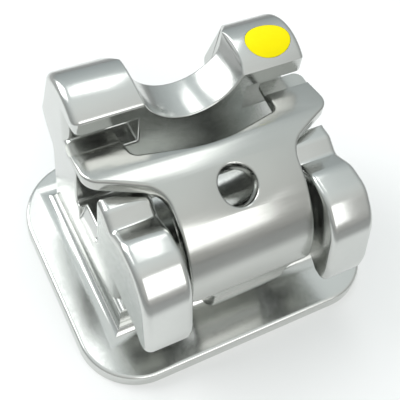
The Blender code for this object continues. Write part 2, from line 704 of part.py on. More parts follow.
def make_clip(material):
    """The spring clip: blank stamped and pierced, tongues thinned, then folded to shape."""
    roll, drop, turn, leg = bend_marks()[:4]
    clip = extruded(
        "spring_clip", blank_outline(), lambda x, along: Vector((x, -along, -CLIP_THICKNESS)),
        Vector((0.0, 0.0, CLIP_THICKNESS)),
    )
    hole_along = roll + HOLE_ANGLE * (CLIP_ROLL_RADIUS - CLIP_THICKNESS / 2.0)
    punch = cylinder("punch", HOLE_RADIUS, CUT_MARGIN, Matrix.Translation((0.0, -hole_along, 0.0)))
    combine(clip, [punch], "DIFFERENCE")
    thinning = box(
        "thinning",
        (-EAR_HALF_SPAN - CUT_MARGIN, -blank_length(EAR_FRONT_Y), -TONGUE_MILLING),
        (EAR_HALF_SPAN + CUT_MARGIN, CUT_MARGIN, CUT_MARGIN),
    )
    combine(clip, [thinning], "DIFFERENCE")
    to_real_size(clip)
    mesh_data = bmesh.new()
    mesh_data.from_mesh(clip.data)
    cuts = [roll + (drop - roll) * step / ROLL_STEPS for step in range(ROLL_STEPS + 1)]
    cuts += [turn + (leg - turn) * step / TURN_STEPS for step in range(TURN_STEPS + 1)]
    cuts.append(blank_length(EAR_CREASE_Y))
    for along in cuts:
        geometry = list(mesh_data.verts) + list(mesh_data.edges) + list(mesh_data.faces)
        bmesh.ops.bisect_plane(
            mesh_data, geom=geometry, dist=MERGE_DISTANCE, plane_co=(0.0, -along, 0.0),
            plane_no=(0.0, 1.0, 0.0),
        )
    for vert in mesh_data.verts:
        vert.co = bent(vert.co.x, -vert.co.y, vert.co.z)
    mesh_data.to_mesh(clip.data)
    mesh_data.free()
    finish(clip, material)


def make_colour_dot(material):
    """The paint of the colour mark: a shallow crowned disc that fills its dimple."""
    dot = curved_disc("colour_dot", DOT_CLEARANCE, DOT_POCKET_DEPTH - DOT_CLEARANCE, 0.0, DOT_CROWN)
    to_real_size(dot)
    finish(dot, material)


def main():
    """Build the bracket."""
    clear_scene()
    make_body(make_material("polished_steel", *POLISHED_STEEL))
    make_clip(make_material("spring_alloy", *SPRING_ALLOY))
    make_colour_dot(make_material("yellow_paint", *YELLOW_PAINT))


main()
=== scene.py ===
"""Studio scene of a self-ligating orthodontic bracket.

Sizes in the classes are in millimetres, in the bracket's own frame: +Z points away from the tooth, +X runs
along the archwire slot and +Y points to the biting edge. Each finished piece is brought to metres.
"""

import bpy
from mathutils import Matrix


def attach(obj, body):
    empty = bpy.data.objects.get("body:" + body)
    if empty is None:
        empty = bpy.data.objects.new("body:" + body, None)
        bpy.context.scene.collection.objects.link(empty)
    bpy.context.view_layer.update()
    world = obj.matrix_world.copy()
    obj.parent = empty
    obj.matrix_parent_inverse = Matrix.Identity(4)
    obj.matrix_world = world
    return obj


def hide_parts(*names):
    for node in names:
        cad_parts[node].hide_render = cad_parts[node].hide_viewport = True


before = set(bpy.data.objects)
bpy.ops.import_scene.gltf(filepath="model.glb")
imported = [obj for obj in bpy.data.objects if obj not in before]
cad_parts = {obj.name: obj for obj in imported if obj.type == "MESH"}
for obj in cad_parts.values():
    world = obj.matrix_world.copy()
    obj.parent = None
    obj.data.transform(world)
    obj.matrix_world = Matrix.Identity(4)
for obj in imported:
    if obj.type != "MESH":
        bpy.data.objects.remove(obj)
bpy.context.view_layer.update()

import logging
import math
from collections.abc import Callable, Iterator, Sequence
from contextlib import contextmanager
from dataclasses import dataclass, field
from enum import Enum

import bpy
from bpy.types import Material, Node, NodeSocket, Object, World
from mathutils import Matrix, Vector

MM = 0.001
QUARTER = math.radians(90.0)
NEAR = 0.005  # lengths that differ by less, in millimetres, are taken as equal
BEYOND = 1.0  # how far a cutter runs out of the metal, in millimetres
STRAIGHT = math.radians(89.5)  # half the angle above which a corner stays as it is
MOST_OF_EDGE = 0.495  # share of an edge that the arc at one of its ends may take
ROUND_FACETS = 96  # facets round a rod
FLAT_WEIGHT = 70  # how strongly large faces keep their normals
log = logging.getLogger("bracket")

Colour = tuple[float, float, float]
Corner = tuple[float, float, float]
Placing = Callable[[float, float], Vector]


class Cut(Enum):
    """How a solid is combined with others."""

    JOIN = "UNION"
    REMOVE = "DIFFERENCE"


class Grain(Enum):
    """Direction in which a metal was last worked."""

    NONE = "none"
    ALONG_SLOT = "along_slot"


def heading(azimuth: float, elevation: float) -> Vector:
    """Unit vector from the bracket, for degrees round from -Y towards +X and degrees up."""
    turn, rise = math.radians(azimuth), math.radians(elevation)
    return Vector((math.sin(turn) * math.cos(rise), -math.cos(turn) * math.cos(rise), math.sin(rise)))


def rounded(*corners: Corner, segments: int = 12) -> list[Vector]:
    """Points of a closed outline whose corners are sharp or rounded.

    Args:
        *corners: (u, v, radius) of each corner.
        segments: facets in each rounded corner.

    Returns:
        The points, with each rounded corner as a tangent arc.
    """
    points: list[Vector] = []
    for index, (u, v, radius) in enumerate(corners):
        corner = Vector((u, v))
        before = Vector(corners[index - 1][:2]) - corner
        after = Vector(corners[(index + 1) % len(corners)][:2]) - corner
        half = before.angle(after) / 2.0
        if radius <= 0.0 or half > STRAIGHT:
            points.append(corner)
            continue
        reach = min(radius / math.tan(half), MOST_OF_EDGE * min(before.length, after.length))
        radius = reach * math.tan(half)
        inward = (before.normalized() + after.normalized()).normalized()
        centre = corner + inward * (radius / math.sin(half))
        first = corner + before.normalized() * reach - centre
        last = corner + after.normalized() * reach - centre
        sweep = math.atan2(first.x * last.y - first.y * last.x, first.dot(last))
        for step in range(segments + 1):
            points.append(centre + Matrix.Rotation(sweep * step / segments, 2) @ first)
    return points


def clear_selection() -> None:
    """Leave edit mode and select nothing."""
    if bpy.context.mode != "OBJECT":
        bpy.ops.object.mode_set(mode="OBJECT")
    bpy.ops.object.select_all(action="DESELECT")


def pick(obj: Object) -> None:
    """Make one object the only selected one and the active one.

    Args:
        obj: the object to pick.
    """
    clear_selection()
    obj.select_set(True)
    bpy.context.view_layer.objects.active = obj


@contextmanager
def editing(obj: Object, everything: bool = True) -> Iterator[None]:
    """Hold one object in edit mode.

    Args:
        obj: the object.
        everything: whether all of it is selected first.

    Yields:
        Nothing, while the object is edited.
    """
    pick(obj)
    bpy.ops.object.mode_set(mode="EDIT")
    if everything:
        bpy.ops.mesh.select_all(action="SELECT")
    yield
    bpy.ops.object.mode_set(mode="OBJECT")


def face_out() -> None:
    """Turn every face of the edited mesh outward."""
    bpy.ops.mesh.select_all(action="SELECT")
    bpy.ops.mesh.normals_make_consistent(inside=False)


def select_none(obj: Object, kind: str) -> None:
    """Select nothing of a mesh.

    Args:
        obj: the object.
        kind: what is selected next, "EDGE" or "FACE".
    """
    with editing(obj, everything=False):
        bpy.ops.mesh.select_mode(type=kind)
        bpy.ops.mesh.select_all(action="DESELECT")


def modify(obj: Object, kind: str, **settings: object) -> None:
    """Add a modifier and apply it.

    Args:
        obj: the object.
        kind: the modifier's type.
        **settings: its properties.
    """
    pick(obj)
    bpy.ops.object.modifier_add(type=kind)
    modifier = obj.modifiers[-1]
    for name, value in settings.items():
        setattr(modifier, name, value)
    bpy.ops.object.modifier_apply(modifier=modifier.name)


def settle(name: str) -> Object:
    """Name the newest primitive and apply its place, turn and size.

    Args:
        name: its name.

    Returns:
        The object.
    """
    obj = bpy.context.object
    obj.name = name
    bpy.ops.object.transform_apply(location=True, rotation=True, scale=True)
    return obj


def snap(obj: Object, digits: int = 5) -> None:
    """Round every coordinate, so that faces meant to lie in one plane do."""
    for vert in obj.data.vertices:
        vert.co = [round(value, digits) for value in vert.co]


def pull(name: str, points: Sequence[Vector], place: Placing, sweep: Sequence[float]) -> Object:
    """Fill an outline and pull it into a solid.

    Args:
        name: its name.
        points: the outline.
        place: gives the place of an outline point.
        sweep: the vector along which the face is extruded.

    Returns:
        The solid.
    """
    clear_selection()
    bpy.ops.mesh.primitive_circle_add(vertices=len(points), radius=1.0, fill_type="NGON")
    obj = bpy.context.object
    obj.name = name
    for vert, point in zip(obj.data.vertices, points):
        vert.co = place(point.x, point.y)
    with editing(obj):
        bpy.ops.mesh.extrude_region_move(TRANSFORM_OT_translate={"value": tuple(sweep)})
        face_out()
    snap(obj)
    return obj


def slab(name: str, points: Sequence[Vector], x_from: float, x_to: float) -> Object:
    """A side profile, drawn as (y, z), pulled along the slot from one x to another."""
    return pull(name, points, lambda y, z: Vector((x_from, y, z)), (x_to - x_from, 0.0, 0.0))


def block(name: str, low: Sequence[float], high: Sequence[float]) -> Object:
    """A block between two opposite corners.

    Args:
        name: its name.
        low: its lowest corner.
        high: its highest corner.

    Returns:
        The block.
    """
    clear_selection()
    middle = (Vector(low) + Vector(high)) / 2.0
    bpy.ops.mesh.primitive_cube_add(size=1.0, location=middle, scale=Vector(high) - Vector(low))
    obj = settle(name)
    snap(obj)
    return obj


def rod(name: str, radius: float, length: float, middle: Sequence[float], tilt: float = 0.0) -> Object:
    """A round rod.

    Args:
        name: its name.
        radius: its radius.
        length: its length.
        middle: its middle.
        tilt: its turn about X, in radians; unturned it lies along Z.

    Returns:
        The rod.
    """
    clear_selection()
    bpy.ops.mesh.primitive_cylinder_add(
        vertices=ROUND_FACETS, radius=radius, depth=length, location=middle, rotation=(tilt, 0.0, 0.0)
    )
    return settle(name)


def round_edges(obj: Object, choose: Callable[[Vector, Vector], bool], width: float, segments: int) -> None:
    """Bevel the edges that a test picks.

    Args:
        obj: the object.
        choose: takes an edge's two ends and says whether it is rounded.
        width: the bevel's width.
        segments: facets in the bevel.
    """
    select_none(obj, "EDGE")
    for edge in obj.data.edges:
        first, last = (obj.data.vertices[index].co for index in edge.vertices)
        edge.select = choose(first, last)
    with editing(obj, everything=False):
        bpy.ops.mesh.bevel(offset=width, segments=segments, profile=0.5, affect="EDGES", clamp_overlap=False)


def combine(target: Object, others: Sequence[Object], cut: Cut) -> None:
    """Join solids to the target, or cut them out of it.

    Args:
        target: the solid that is kept.
        others: the solids that are used up.
        cut: whether they are joined or removed.
    """
    group = bpy.data.collections.new("used_up")
    for other in others:
        group.objects.link(other)
    modify(
        target, "BOOLEAN", operation=cut.value, operand_type="COLLECTION", collection=group, solver="EXACT"
    )
    for other in others:
        bpy.data.objects.remove(other, do_unlink=True)
    bpy.data.collections.remove(group)
    merge(target)


def merge(obj: Object, distance: float = 0.00001) -> None:
    """Merge doubled points and turn every face outward.

    Args:
        obj: the object.
        distance: how near two points are merged.
    """
    with editing(obj):
        bpy.ops.mesh.remove_doubles(threshold=distance)
        bpy.ops.mesh.dissolve_degenerate(threshold=distance)
        face_out()


def reorder(obj: Object) -> None:
    """Number the points and faces by their places, because a cut leaves them in a chance order.

    Args:
        obj: the object.
    """
    mesh = obj.data
    spots = [vert.co.copy() for vert in mesh.vertices]
    order = sorted(range(len(spots)), key=lambda index: spots[index].zxy.to_tuple(5))
    rank = {old: new for new, old in enumerate(order)}
    faces = [[rank[index] for index in polygon.vertices] for polygon in mesh.polygons]
    mesh.clear_geometry()
    mesh.from_pydata([spots[index] for index in order], [], sorted(faces, key=sorted))
    mesh.update()


def clean_flats(obj: Object, angle: float = 0.4) -> None:
    """Dissolve the lines that cuts leave inside faces flatter than an angle in degrees."""
    with editing(obj):
        bpy.ops.mesh.dissolve_limited(angle_limit=math.radians(angle), use_dissolve_boundaries=False)


def soften(obj: Object, share: Callable[[Vector, Vector], float], width: float,
           segments: int, angle: float = 30.0) -> None:
    """Round the edges that are still sharp, each by its own share of one width.

    Args:
        obj: the object.
        share: takes an edge's two ends and gives its share of the width, from 0 to 1.
        width: the full width.
        segments: facets in each rounding.
        angle: edges flatter than this, in degrees, are left.
    """
    mesh = obj.data
    normals: dict[tuple[int, int], list[Vector]] = {}
    for polygon in mesh.polygons:
        for key in polygon.edge_keys:
            normals.setdefault(key, []).append(polygon.normal)
    weights = mesh.attributes.new("bevel_weight_edge", "FLOAT", "EDGE")
    for edge in mesh.edges:
        sides = normals.get(edge.key, [])
        if len(sides) != 2 or sides[0].angle(sides[1], 0.0) < math.radians(angle):
            continue
        first, last = (mesh.vertices[index].co for index in edge.vertices)
        weights.data[edge.index].value = share(first, last)
    modify(obj, "BEVEL", width=width, segments=segments, limit_method="WEIGHT", use_clamp_overlap=False)


def finish(obj: Object, material: Material, angle: float = 40.0) -> None:
    """Bring a piece to metres, give it its material and shade it smooth with its flats kept flat.

    Args:
        obj: the piece.
        material: its material.
        angle: edges sharper than this, in degrees, stay sharp.
    """
    pick(obj)
    obj.scale = (MM, MM, MM)
    bpy.ops.object.transform_apply(location=True, rotation=True, scale=True)
    obj.data.materials.clear()
    obj.data.materials.append(material)
    bpy.ops.object.shade_smooth_by_angle(angle=math.radians(angle))
    modify(obj, "WEIGHTED_NORMAL", keep_sharp=True, weight=FLAT_WEIGHT)
    clear_selection()


class Wiring:
    """The node tree of a material or a world while it is wired up."""

    def __init__(self, owner: Material | World) -> None:
        """Take the tree of a material or a world."""
        owner.use_nodes = True
        self.tree = owner.node_tree

    def feed(self, node: Node, inputs: dict[str | int, object]) -> None:
        """Set a node's inputs.

        Args:
            node: the node.
            inputs: for each input its constant, or the output that is linked to it.
        """
        for name, value in inputs.items():
            if isinstance(value, NodeSocket):
                self.tree.links.new(value, node.inputs[name])
            else:
                node.inputs[name].default_value = value

    def add(self, kind: str, inputs: dict[str | int, object], **settings: str) -> Node:
        """Add a node.

        Args:
            kind: its type, without the leading ShaderNode.
            inputs: its inputs, as feed takes them.
            **settings: its other properties.

        Returns:
            The node.
        """
        node = self.tree.nodes.new("ShaderNode" + kind)
        for name, value in settings.items():
            setattr(node, name, value)
        self.feed(node, inputs)
        return node

    def place(self) -> NodeSocket:
        """The place on the piece, in its own coordinates."""
        return self.add("TexCoord", {}).outputs["Object"]

    def blend(self, first: object, second: object, share: object, way: str = "MIX") -> NodeSocket:
        """Blend two colours.

        Args:
            first: the first colour, or an output.
            second: the second one.
            share: the second one's share.
            way: the blend's type.

        Returns:
            The blended colour.
        """
        first, second = ((*side, 1.0) if isinstance(side, tuple) else side for side in (first, second))
        inputs = {"A": first, "B": second, "Factor": share}
        return self.add("Mix", inputs, data_type="RGBA", blend_type=way).outputs["Result"]


@dataclass(frozen=True)
class Steel:
    """Polished steel with faint polishing marks.

    Attributes:
        name: the material's name.
        colour: its colour where it is cleanest.
        stain: its colour where it is dullest.
        roughness: lowest and highest roughness.
        grain: direction of the marks.
        grain_stretch: scale of the marks along the slot, when they run along it.
        grain_size: width of a mark, in millimetres.
        cloud_size: width of a stain, in millimetres.
        mark_depth: depth of the marks, in millimetres.
        mark_strength: how strongly they show.
    """

    name: str
    colour: Colour
    stain: Colour
    roughness: tuple[float, float]
    grain: Grain = Grain.NONE
    grain_stretch: float = 0.08
    grain_size: float = 0.05
    cloud_size: float = 0.6
    mark_depth: float = 0.0006
    mark_strength: float = 0.35

    def material(self) -> Material:
        """Make the material.

        Returns:
            A metal whose colour, roughness and bump vary over the piece.
        """
        material = bpy.data.materials.new(self.name)
        wiring = Wiring(material)
        place = wiring.place()
        stretch = self.grain_stretch if self.grain is Grain.ALONG_SLOT else 1.0
        mapping = wiring.add("Mapping", {"Vector": place, "Scale": (stretch, 1.0, 1.0)})
        cloud = wiring.add("TexNoise", {
            "Vector": place, "Scale": 1.0 / (self.cloud_size * MM), "Detail": 3.0,
        })
        marks = wiring.add("TexNoise", {
            "Vector": mapping.outputs["Vector"], "Scale": 1.0 / (self.grain_size * MM),
            "Detail": 4.0, "Roughness": 0.65,
        })
        gloss = wiring.add("MapRange", {
            "Value": marks.outputs["Fac"], "From Min": 0.3, "From Max": 0.7,
            "To Min": self.roughness[0], "To Max": self.roughness[1],
        })
        bump = wiring.add("Bump", {
            "Height": marks.outputs["Fac"], "Strength": self.mark_strength, "Distance": self.mark_depth * MM,
        })
        wiring.feed(wiring.tree.nodes["Principled BSDF"], {
            "Metallic": 1.0,
            "Base Color": wiring.blend(self.colour, self.stain, cloud.outputs["Fac"]),
            "Roughness": gloss.outputs["Result"],
            "Normal": bump.outputs["Normal"],
        })
        return material


@dataclass(frozen=True)
class Paint:
    """Opaque satin paint with a slightly uneven film.

    Attributes:
        name: the material's name.
        colour: the paint's colour.
        thin: its colour where the film is thinner.
        roughness: its roughness.
        sheen: how strongly it mirrors the lamps.
        patch_size: width of an unevenness, in millimetres.
        patch_depth: its depth, in millimetres.
        patch_strength: how strongly it shows.
    """

    name: str
    colour: Colour
    thin: Colour
    roughness: float = 0.55
    sheen: float = 0.12
    patch_size: float = 0.12
    patch_depth: float = 0.002
    patch_strength: float = 0.2

    def material(self) -> Material:
        """Make the material.

        Returns:
            A paint with a faint unevenness.
        """
        material = bpy.data.materials.new(self.name)
        wiring = Wiring(material)
        film = wiring.add("TexNoise", {
            "Vector": wiring.place(), "Scale": 1.0 / (self.patch_size * MM), "Detail": 3.0,
        })
        bump = wiring.add("Bump", {
            "Height": film.outputs["Fac"], "Strength": self.patch_strength, "Distance": self.patch_depth * MM,
        })
        wiring.feed(wiring.tree.nodes["Principled BSDF"], {
            "Base Color": wiring.blend(self.colour, self.thin, film.outputs["Fac"]),
            "Roughness": self.roughness,
            "Specular IOR Level": self.sheen,
            "Normal": bump.outputs["Normal"],
        })
        return material


@dataclass(frozen=True)
class Slot:
    """The archwire slot that the other sizes are set from.

    Attributes:
        centre_y: its middle across.
        width: its width.
        floor_z: its floor.
        wall_top_z: top of the stem's walls beside it.
        corner: radius of its corners.
    """

    centre_y: float = 0.06
    width: float = 0.56
    floor_z: float = 0.98
    wall_top_z: float = 1.50
    corner: float = 0.04

    @property
    def front(self) -> float:
        """The gingival wall."""
        return self.centre_y - self.width / 2.0

    @property
    def back(self) -> float:
        """The occlusal wall."""
        return self.centre_y + self.width / 2.0


@dataclass(frozen=True)
class ClipShape:
    """Shape of the folded clip, shared with the bay and tunnel that hold it.

    Attributes:
        thickness: the blank's thickness.
        top_z: labial skin of the flat part.
        roll_radius: outer radius of the large roll.
        roll_y: where the roll begins.
        drop: length of the straight drop under the roll.
        turn_radius: outer radius of the tight turn.
        leg_half_width: half the leg's width.
        leg_end_y: where the leg ends.
    """

    thickness: float = 0.17
    top_z: float = 1.97
    roll_radius: float = 0.97
    roll_y: float = -0.25
    drop: float = 0.20
    turn_radius: float = 0.38
    leg_half_width: float = 0.42
    leg_end_y: float = 0.75

    @property
    def roll_z(self) -> float:
        """Height of the roll's centre."""
        return self.top_z - self.roll_radius

    @property
    def leg_low_z(self) -> float:
        """Tooth side of the leg."""
        return self.roll_z - self.drop - self.turn_radius

    @property
    def leg_high_z(self) -> float:
        """Labial side of the leg."""
        return self.leg_low_z + self.thickness


@dataclass(frozen=True)
class LabialFace:
    """The arc of the occlusal wings' labial face.

    Attributes:
        crest_y: where the face is highest.
        crest_z: its height there.
        lip_z: its height at the lip over the slot.
        lip_y: the lip's place.
        turn_down: how far past the crest the arc runs, in degrees.
    """

    crest_y: float = 0.70
    crest_z: float = 2.335
    lip_z: float = 2.20
    lip_y: float = 0.34
    turn_down: float = 47.0

    @property
    def radius(self) -> float:
        """Radius of the arc."""
        run = self.crest_y - self.lip_y
        rise = self.crest_z - self.lip_z
        return (run * run + rise * rise) / (2.0 * rise)

    def point(self, angle: float, out: float = 0.0) -> Vector:
        """A place on the face.

        Args:
            angle: angle past the crest.
            out: distance outside the face.

        Returns:
            The place as (y, z).
        """
        reach = self.radius + out
        centre_z = self.crest_z - self.radius
        return Vector((self.crest_y + reach * math.sin(angle), centre_z + reach * math.cos(angle)))

    def arc(self, steps: int = 20) -> list[Vector]:
        """The arc from behind the crest to the lip.

        Args:
            steps: facets in the arc.

        Returns:
            Its points as (y, z).
        """
        first = math.radians(self.turn_down)
        last = -math.asin((self.crest_y - self.lip_y) / self.radius)
        return [self.point(first + (last - first) * step / steps) for step in range(steps + 1)]


@dataclass(frozen=True)
class HookShape:
    """Side profile of a gingival hook.

    Attributes:
        ridge_z: top of the ridge beside the slot.
        ridge_length: its length.
        ridge_radius: radius of its front edge.
        valley: the groove behind the ridge, as (y, z, radius).
        crest: where the crest begins, as (y, z, radius).
        crest_length: its length.
        crest_fall: how far it falls along that length.
        shoulder: where the back turns down, as (y, z, radius).
        nose: the furthest point, as (y, z, radius).
        tip: the tip's outer corner, as (y, z, radius).
        tip_thickness: the tip's thickness.
        mouth: the inner corner behind the tip, as (y, z, radius).
        underside_z: the underside's height at the stem.
        overlap: how far the hook runs into the stem.
    """

    ridge_z: float = 1.76
    ridge_length: float = 0.16
    ridge_radius: float = 0.12
    valley: Corner = (-0.54, 1.66, 0.06)
    crest: Corner = (-0.78, 1.77, 0.30)
    crest_length: float = 0.30
    crest_fall: float = 0.02
    shoulder: Corner = (-1.35, 1.51, 0.50)
    nose: Corner = (-1.47, 0.94, 0.50)
    tip: Corner = (-1.45, 0.72, 0.09)
    tip_thickness: float = 0.18
    mouth: Corner = (-1.19, 0.79, 0.14)
    underside_z: float = 0.84
    overlap: float = 0.06


@dataclass
class ColourMark:
    """The painted mark in its dimple on the right occlusal wing."""

    face: LabialFace = field(default_factory=LabialFace)
    x: float = 0.94
    y: float = 0.60
    half_width: float = 0.255
    half_length: float = 0.205
    depth: float = 0.05
    clearance: float = 0.004
    crown: float = 0.018
    rings: int = 7

    def disc(self, name: str, inset: float, low: float, high: float, crown: float) -> Object:
        """An oval disc that follows the wing's face.

        Args:
            name: its name.
            inset: how much smaller it is than its dimple, all round.
            low: its under side, measured from the face.
            high: its rim's upper side.
            crown: how far its middle stands over its rim.

        Returns:
            The disc.
        """
        radius = self.half_width - inset
        slimness = (self.half_length - inset) / radius
        disc = rod(name, radius, high - low, (0.0, 0.0, (high + low) / 2.0))
        for level in (low, high):
            select_none(disc, "FACE")
            for polygon in disc.data.polygons:
                polygon.select = abs(polygon.center.z - level) < NEAR
            with editing(disc, everything=False):
                for _ in range(self.rings):
                    bpy.ops.mesh.inset(thickness=radius / (self.rings + 1.0), depth=0.0)
        start = math.asin((self.y - self.face.crest_y) / self.face.radius)
        for vert in disc.data.vertices:
            across, along, out = vert.co
            if out > (low + high) / 2.0:
                out += crown * (1.0 - (across * across + along * along) / (radius * radius))
            spot = self.face.point(start + along * slimness / self.face.radius, out)
            vert.co = (self.x + across, spot.x, spot.y)
        return disc

    def cutter(self) -> Object:
        """The dimple's cutter."""
        return self.disc("dimple", 0.0, -self.depth, self.depth, 0.0)

    def build(self, paint: Paint) -> Object:
        """Build the mark.

        Args:
            paint: its paint.

        Returns:
            The finished piece.
        """
        mark = self.disc("colour_mark", self.clearance, self.clearance - self.depth, 0.0, self.crown)
        finish(mark, paint.material())
        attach(mark, "body")
        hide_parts("colour_dot")
        return mark


@dataclass
class BracketBody:
    """The one-piece body: pad, foot, stem, occlusal wings and gingival hooks."""

    slot: Slot = field(default_factory=Slot)
    clip: ClipShape = field(default_factory=ClipShape)
    face: LabialFace = field(default_factory=LabialFace)
    hook_shape: HookShape = field(default_factory=HookShape)
    mark: ColourMark = field(default_factory=ColourMark)
    pad_half_x: float = 1.73
    pad_half_y: float = 1.475
    pad_thickness: float = 0.16
    pad_front_corner: float = 0.64
    pad_back_corner: float = 0.80
    pad_corner_facets: int = 24
    pad_rim: float = 0.045
    pocket_pitch: float = 0.32
    pocket_size: float = 0.21
    pocket_depth: float = 0.06
    pocket_margin: float = 0.18
    half_width: float = 1.28
    stem_front: float = -0.85
    stem_back: float = 0.98
    foot_radius: float = 0.17
    foot_steps: int = 12
    tip_y: float = 1.35
    tip_z: float = 1.46
    tip_setback: float = 0.12
    tip_depth: float = 0.18
    tip_radius: float = 0.13
    undercut_z: float = 1.12
    heel: float = 0.06
    saddle_radius: float = 0.58
    saddle_floor_z: float = 1.84
    gap_half_width: float = 0.50
    gap_corner: float = 0.10
    gap_flare: float = 0.18
    gap_flare_length: float = 0.24
    web_back_y: float = 0.82
    web_half_width: float = 0.60
    recess_depth: float = 0.27
    recess_floor_z: float = 1.68
    recess_roof_z: float = 2.02
    bay_half_width: float = 0.77
    bay_front_y: float = -0.72
    bay_corner: float = 0.22
    edge_round: float = 0.085
    edge_facets: int = 5
    inner_share: float = 0.26
    hook_share: float = 0.80
    lead_in_run: float = 0.09
    lead_in_drop: float = 0.22
    lead_in_margin: float = 0.08
    clearance: float = 0.02
    roof_overlap: float = 0.001

    def pad(self) -> Object:
        """The rounded bonding pad with its upper rim broken.

        Returns:
            The pad.
        """
        outline = rounded(
            (-self.pad_half_x, -self.pad_half_y, self.pad_front_corner),
            (self.pad_half_x, -self.pad_half_y, self.pad_front_corner),
            (self.pad_half_x, self.pad_half_y, self.pad_back_corner),
            (-self.pad_half_x, self.pad_half_y, self.pad_back_corner),
            segments=self.pad_corner_facets,
        )
        height = self.pad_thickness
        pad = pull("bracket_body_detail", outline, lambda x, y: Vector((x, y, 0.0)), (0.0, 0.0, height))
        round_edges(pad, lambda a, b: min(a.z, b.z) > height - NEAR, self.pad_rim, self.edge_facets)
        return pad

    def foot(self) -> Object:
        """The concave foot, drawn up ring by ring along a quarter circle.

        Returns:
            The foot.
        """
        middle_y = (self.stem_front + self.stem_back) / 2.0
        half_y = (self.stem_back - self.stem_front) / 2.0
        wide = self.foot_radius
        sunk = self.pad_thickness / 2.0
        clear_selection()
        bpy.ops.mesh.primitive_plane_add(size=2.0, location=(0.0, middle_y, sunk))
        bpy.context.object.scale = (self.half_width + wide, half_y + wide, 1.0)
        foot = settle("foot")
        with editing(foot):
            lift = self.pad_thickness - sunk
            bpy.ops.mesh.extrude_region_move(TRANSFORM_OT_translate={"value": (0.0, 0.0, lift)})
            grow, height = wide, 0.0
            for step in range(1, self.foot_steps + 1):
                angle = QUARTER * step / self.foot_steps
                next_grow = wide * (1.0 - math.sin(angle))
                next_height = wide * (1.0 - math.cos(angle))
                lift = next_height - height
                bpy.ops.mesh.extrude_region_move(TRANSFORM_OT_translate={"value": (0.0, 0.0, lift)})
                scale_x = (self.half_width + next_grow) / (self.half_width + grow)
                bpy.ops.transform.resize(
                    value=(scale_x, (half_y + next_grow) / (half_y + grow), 1.0),
                    center_override=(0.0, middle_y, self.pad_thickness + next_height),
                )
                grow, height = next_grow, next_height
            face_out()
        return foot

    def stem(self) -> Object:
        """The full-width stem with the slot's floor and walls and the clip's bay.

        Returns:
            The stem.
        """
        slot = self.slot
        root = self.pad_thickness / 2.0
        step = self.clip.leg_high_z + self.clearance
        profile = rounded(
            (self.stem_front, root, 0.0),
            (self.stem_back, root, 0.0),
            (self.stem_back, slot.wall_top_z, 0.0),
            (slot.back, slot.wall_top_z, 0.0),
            (slot.back, slot.floor_z, slot.corner),
            (slot.front, slot.floor_z, slot.corner),
            (slot.front, slot.wall_top_z, 0.0),
            (self.bay_front_y, slot.wall_top_z, self.bay_corner),
            (self.bay_front_y, step, 0.0),
            (self.stem_front, step, 0.0),
        )
        return slab("stem", profile, -self.half_width, self.half_width)

    def wings(self) -> Object:
        """The occlusal wings, still joined.

        Returns:
            The wings.
        """
        lower = rounded(
            (self.slot.back, (self.slot.wall_top_z + self.slot.floor_z) / 2.0, 0.0),
            (self.stem_back - self.heel, self.undercut_z - self.heel, 0.0),
            (self.stem_back + self.heel, self.undercut_z, self.heel),
            (self.tip_y - self.tip_setback, self.tip_z - self.tip_depth, self.tip_radius),
            (self.tip_y, self.tip_z, self.tip_radius),
            (*self.face.point(math.radians(self.face.turn_down)), 0.0),
            (*self.face.point(0.0), 0.0),
            (self.slot.back, self.face.lip_z, 0.0),
        )[:-3]
        return slab("occlusal_wings", lower + self.face.arc(), -self.half_width, self.half_width)

    def hook(self, side: float) -> Object:
        """One gingival hook: ridge beside the slot, valley, rounded crest and hooked tip.

        Args:
            side: 1 for the right hook and -1 for the left.

        Returns:
            The hook.
        """
        slot, shape = self.slot, self.hook_shape
        tip_y, tip_z, tip_radius = shape.tip
        crest_y, crest_z, crest_radius = shape.crest
        profile = rounded(
            (slot.front, slot.floor_z + shape.overlap, 0.0),
            (slot.front, shape.ridge_z, 0.0),
            (slot.front - shape.ridge_length, shape.ridge_z, shape.ridge_radius),
            shape.valley,
            shape.crest,
            (crest_y - shape.crest_length, crest_z - shape.crest_fall, crest_radius),
            shape.shoulder,
            shape.nose,
            shape.tip,
            (tip_y + shape.tip_thickness, tip_z, tip_radius),
            shape.mouth,
            (self.stem_front + shape.overlap, shape.underside_z, 0.0),
            (self.bay_front_y + 2.0 * shape.overlap, slot.floor_z - shape.overlap, 0.0),
        )
        return slab("hook", profile, side * self.bay_half_width, side * self.half_width)

    def recess_cutter(self, side: float) -> Object:
        """The space under a wing's lip that takes the clip's tongue.

        Args:
            side: 1 for the right wing and -1 for the left.

        Returns:
            The cutter.
        """
        ends = sorted((side * self.web_half_width, side * (self.half_width + BEYOND)))
        low = (ends[0], self.slot.centre_y, self.recess_floor_z)
        high = (ends[1], self.slot.back + self.recess_depth, self.recess_roof_z)
        return block("recess", low, high)

    def lead_in_cutter(self, side: float) -> Object:
        """The wedge that slopes an end of the slot's floor, where the archwire is led in.

        Args:
            side: 1 for the right end and -1 for the left.

        Returns:
            The cutter.
        """
        inner = self.half_width - 2.0 * self.lead_in_run
        outer = self.half_width + self.lead_in_run
        top = self.slot.floor_z + self.lead_in_drop
        low = self.slot.floor_z - 2.0 * self.lead_in_drop
        near = self.slot.front + self.lead_in_margin
        points = [Vector((inner, top)), Vector((outer, low)), Vector((outer, top))]
        return pull(
            "lead_in", points, lambda x, z: Vector((side * x, near, z)),
            (0.0, self.slot.width - 2.0 * self.lead_in_margin, 0.0),
        )

